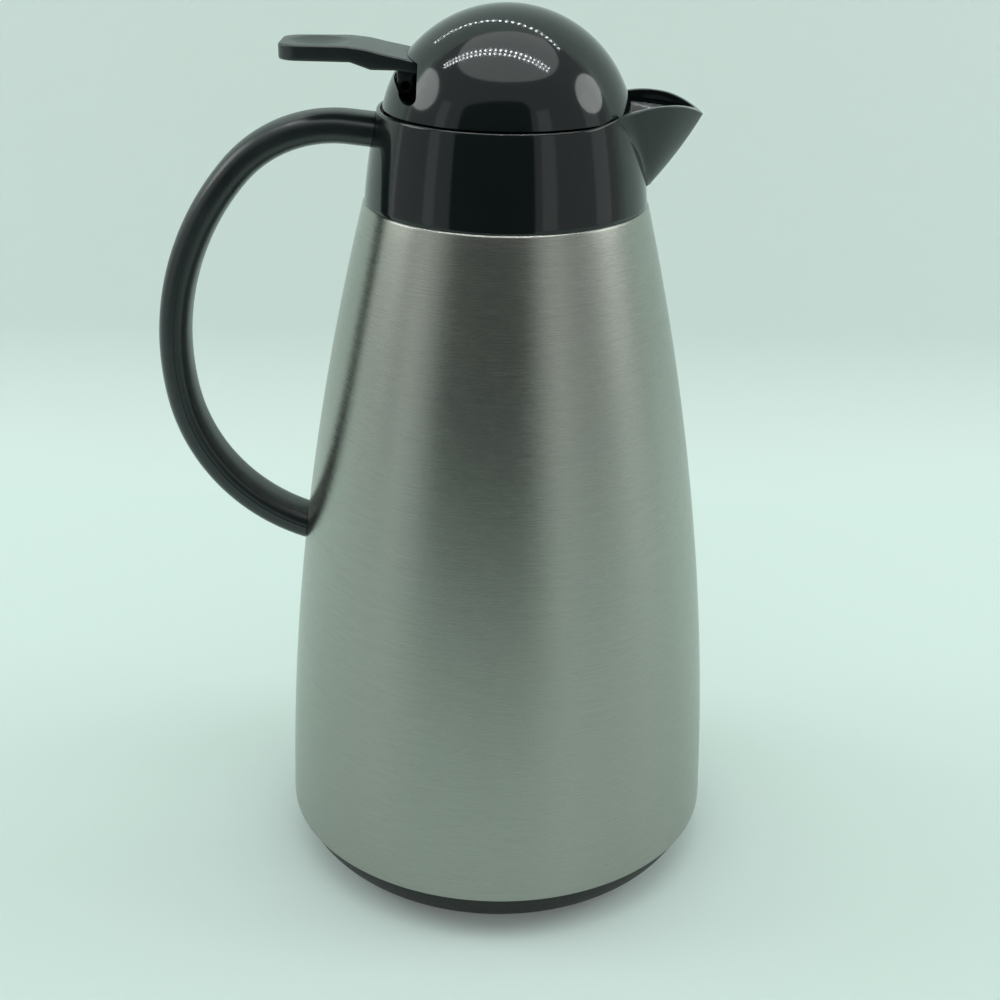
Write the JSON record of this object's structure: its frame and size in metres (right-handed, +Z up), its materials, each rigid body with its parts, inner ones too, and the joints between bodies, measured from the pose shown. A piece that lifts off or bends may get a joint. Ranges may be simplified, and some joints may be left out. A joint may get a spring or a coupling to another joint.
{
  "type": "thermal carafe with flip lid",
  "caption": "Tall thermal carafe: flared steel body, black collar with a pouring spout, ring handle and a domed lid that flips up with a thumb lever.",
  "frame": {"origin": "where the axis of the steel body meets the surface that the carafe stands on", "axes": "+Z up along the axis of the body, +X from the axis toward the spout, -X toward the handle, +Y completes the right-handed frame"},
  "size_m": [0.1795, 0.1424, 0.28],
  "materials": {
    "steel_body": "satin, brushed round the body",
    "gloss_black": "gloss",
    "matte_black": "fine moulded",
    "silvered_glass": "silvered glass",
    "black_rubber": "matt",
    "plated_steel": "bright zinc plate",
    "foam": "rigid foam",
    "spacer_ceramic": "matt"
  },
  "bodies": {
    "carafe": {"outer_shell": "steel_body", "base_cup": "matte_black", "base_plug": "matte_black", "liner_cushion": "black_rubber", "liner_outer": "silvered_glass", "liner_inner": "silvered_glass", "liner_spacers": "spacer_ceramic", "neck_gasket": "black_rubber", "clamp_ring": "matte_black", "clamp_screws": "plated_steel", "collar": "gloss_black", "handle": "gloss_black", "handle_cover": "gloss_black", "handle_screws": "plated_steel", "handle_backplate": "plated_steel"},
    "lid_base": {"stopper_body": "matte_black", "stopper_cup": "matte_black", "stopper_foam": "foam", "stopper_gasket": "black_rubber", "return_spring": "plated_steel"},
    "flip_lid": {"dome_lid": "gloss_black", "dome_liner": "matte_black", "seal_plug": "black_rubber", "thumb_lever": "gloss_black", "hinge_pin": "plated_steel", "lever_screws": "plated_steel"}
  },
  "joints": [
    {"name": "lid_lift", "type": "slide", "parent": "carafe", "child": "lid_base", "axis": [0, 0, 1], "range_m": [0, 0.06]},
    {"name": "lid_tilt", "type": "hinge", "parent": "lid_base", "child": "flip_lid", "pos_m": [-0.0295, 0, 0.258], "axis": [0, -1, 0], "range_deg": [0, 22], "stiffness_Nm_per_rad": 0.12, "springref_deg": -34.38}
  ]
}
